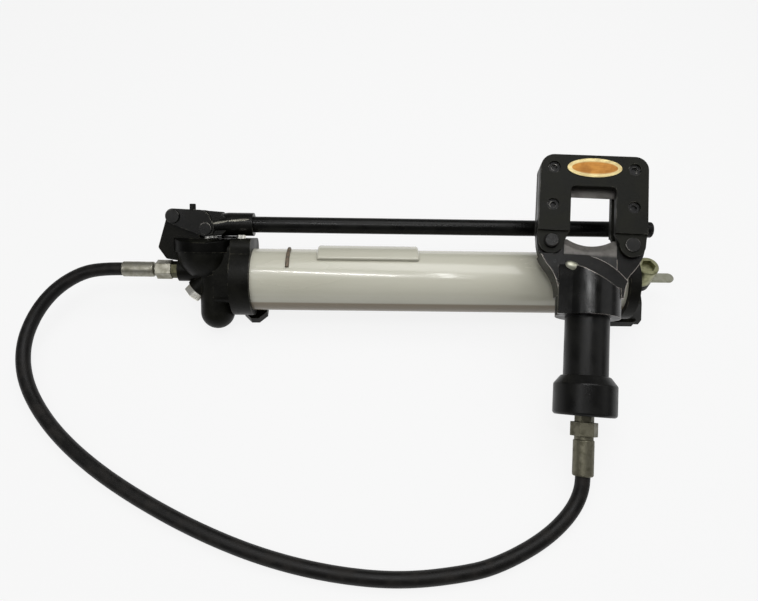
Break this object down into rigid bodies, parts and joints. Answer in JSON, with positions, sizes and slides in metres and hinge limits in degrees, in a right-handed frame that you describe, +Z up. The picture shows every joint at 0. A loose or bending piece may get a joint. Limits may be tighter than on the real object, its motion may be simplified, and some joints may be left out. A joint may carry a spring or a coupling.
{
  "type": "hydraulic conductor cutter",
  "caption": "Hand-pumped hydraulic conductor cutter: a lever pump on a long tube reservoir, joined by a hose to a guillotine head whose ram drives a concave blade past a fixed blade.",
  "frame": {"origin": "on the floor, at the centre of the bolt pattern under the two feet", "axes": "+X along the reservoir from pump head to end cap, +Y to the back, +Z up"},
  "size_m": [0.7344, 0.4108, 0.1745],
  "materials": {
    "pump_black": "semi-gloss black paint over a casting",
    "lever_black": "satin black paint",
    "lever_plug_black": "moulded",
    "reservoir_cream": "glossy cream paint",
    "saddle_cream": "glossy cream paint",
    "clip_dark": "dark paint",
    "ground_steel": "ground",
    "pin_steel": "turned and blackened",
    "valve_steel": "turned, zinc plated",
    "zinc_yellow": "yellow zinc plated",
    "tab_steel": "stamped",
    "inner_steel": "plain",
    "seal_rubber": "moulded",
    "hose_rubber": "wrapped rubber cover",
    "fitting_steel": "zinc plated",
    "adaptor_zinc": "olive zinc plated",
    "cutter_black": "blackened steel with worn edges",
    "blade_steel": "hardened, ground edge",
    "screw_black": "blackened",
    "bush_bronze": "plain bronze bush",
    "oval_gold": "satin gold plate, bare"
  },
  "bodies": {
    "base": {"check_balls": "inner_steel", "cutter_adaptor": "adaptor_zinc", "cutter_cylinder": "cutter_black", "cutter_ferrule": "fitting_steel", "cutter_swivel_nut": "fitting_steel", "cylinder_cap": "cutter_black", "end_cap": "pump_black", "fixed_blade": "blade_steel", "frame_back_plate": "cutter_black", "frame_front_plate": "cutter_black", "frame_screws": "screw_black", "fulcrum_pin": "pin_steel", "gland_nut": "pin_steel", "guide_bar_left": "cutter_black", "guide_bar_right": "cutter_black", "hinge_pin": "pin_steel", "hose": "hose_rubber", "oval_plate": "oval_gold", "plug_tab": "tab_steel", "plunger_seal": "seal_rubber", "pump_adaptor": "adaptor_zinc", "pump_body": "pump_black", "pump_ferrule": "fitting_steel", "pump_swivel_nut": "fitting_steel", "reservoir_orings": "seal_rubber", "reservoir_tube": "reservoir_cream", "return_spring": "inner_steel", "rod_bush": "bush_bronze", "rod_wiper": "seal_rubber", "suction_pipe": "inner_steel", "suction_strainer": "inner_steel", "tie_rod": "inner_steel", "tie_rod_nut": "inner_steel", "top_spacer": "cutter_black", "tube_clip": "clip_dark", "tube_saddle": "saddle_cream", "vent_screw": "valve_steel", "yoke": "cutter_black"},
    "lever": {"lever_casting": "lever_black", "lever_tube": "lever_black", "lever_end_plug": "lever_plug_black", "plunger_pin": "pin_steel"},
    "plunger": {"plunger": "ground_steel"},
    "ram": {"ram": "ground_steel", "piston_seal": "seal_rubber", "blade_holder": "blade_steel", "moving_blade": "blade_steel", "blade_screws": "screw_black"},
    "lock_pin": {"lock_pin": "pin_steel"},
    "release_valve": {"release_valve": "valve_steel"},
    "filler_plug": {"filler_plug": "zinc_yellow"}
  },
  "joints": [
    {"name": "lever_swing", "type": "hinge", "parent": "base", "child": "lever", "pos_m": [-0.29485, 0.05362, 0.09199], "axis": [0, -0.6428, 0.766], "range_deg": [0, 40]},
    {"name": "plunger_slide", "type": "slide", "parent": "base", "child": "plunger", "axis": [0, 0.766, 0.6428], "range_m": [0, 0.026]},
    {"name": "ram_slide", "type": "slide", "parent": "base", "child": "ram", "axis": [0.0717, 0.9107, 0.4067], "range_m": [0, 0.06], "stiffness_N_per_m": 1500, "springref_m": -0.03, "deforming": ["return_spring"]},
    {"name": "lock_pin_slide", "type": "slide", "parent": "base", "child": "lock_pin", "axis": [-0.1187, -0.3971, 0.9101], "range_m": [0, 0.03]},
    {"name": "release_valve_turn", "type": "hinge", "parent": "base", "child": "release_valve", "pos_m": [-0.27356, -0.00962, 0.03893], "axis": [-0.7071, -0.5417, -0.4545], "range_deg": [0, 180]},
    {"name": "filler_plug_turn", "type": "hinge", "parent": "base", "child": "filler_plug", "pos_m": [0.232, 0, 0.058], "axis": [0, 0, 1], "range_deg": [0, 180]}
  ],
  "couplings": [
    {"joint": "plunger_slide", "follows": "lever_swing", "m_per_rad": 0.037233}
  ]
}
